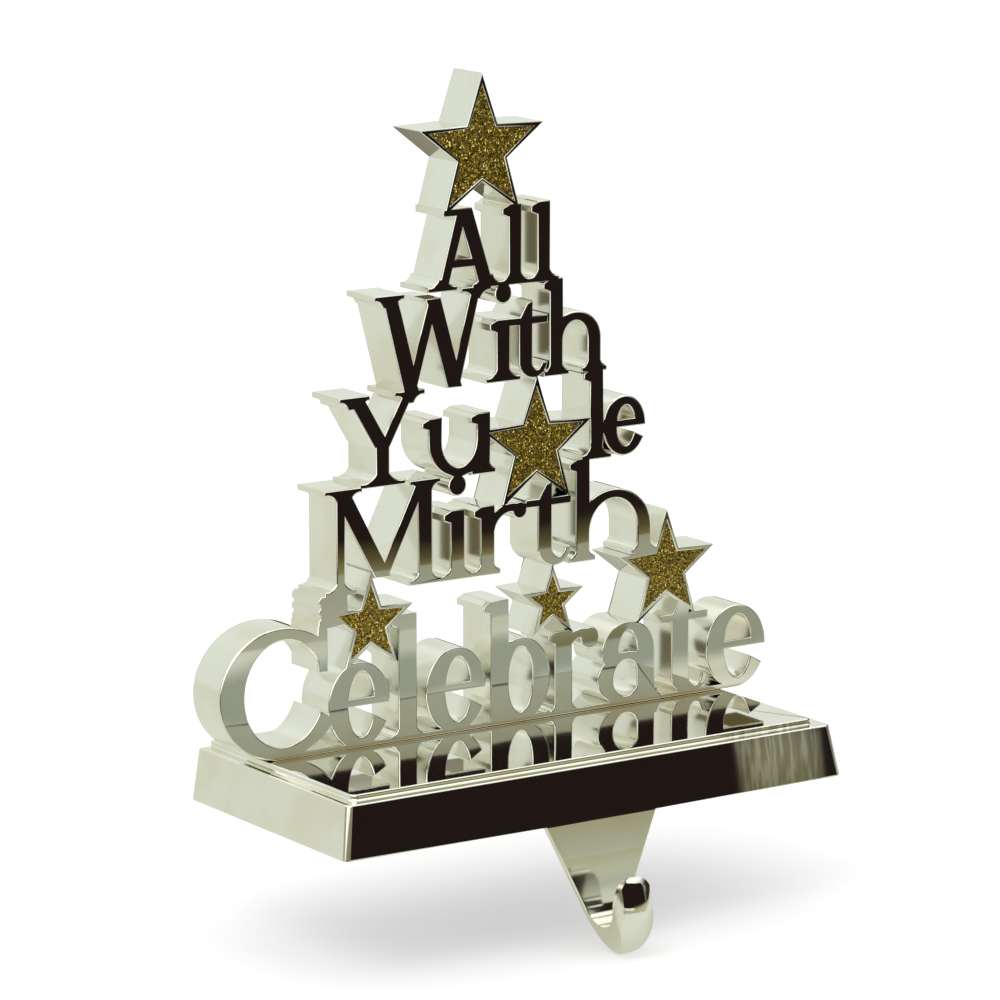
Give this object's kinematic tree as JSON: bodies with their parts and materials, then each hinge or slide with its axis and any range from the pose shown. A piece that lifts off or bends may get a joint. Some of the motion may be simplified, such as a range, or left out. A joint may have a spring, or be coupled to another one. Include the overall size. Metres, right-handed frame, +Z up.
{
  "type": "mantel stocking holder",
  "caption": "Weighted mantel stocking holder: a low plinth with a curled hook in front carries an openwork tree of seasonal words and glitter-filled stars.",
  "frame": {"origin": "on the underside of the plinth, at the middle of its plan; it stands on the mantel at z = 0", "axes": "+X to the right along the mantel, -Y to the room where the hook hangs, +Z up"},
  "size_m": [0.1665, 0.0892, 0.2137],
  "materials": {
    "nickel_plate": "bright nickel plate on a zinc casting, brushed on the sides",
    "gold_glitter": "coarse gold glitter in clear resin",
    "pad": "matt foam rubber",
    "screw_steel": "zinc-plated"
  },
  "bodies": {
    "root": {"plinth": "nickel_plate", "word_tree": "nickel_plate", "top_star_inlay": "gold_glitter", "middle_star_inlay": "gold_glitter", "right_star_inlay": "gold_glitter", "left_star_inlay": "gold_glitter", "small_star_inlay": "gold_glitter", "base_pad": "pad", "tree_screws": "screw_steel"}
  },
  "joints": []
}
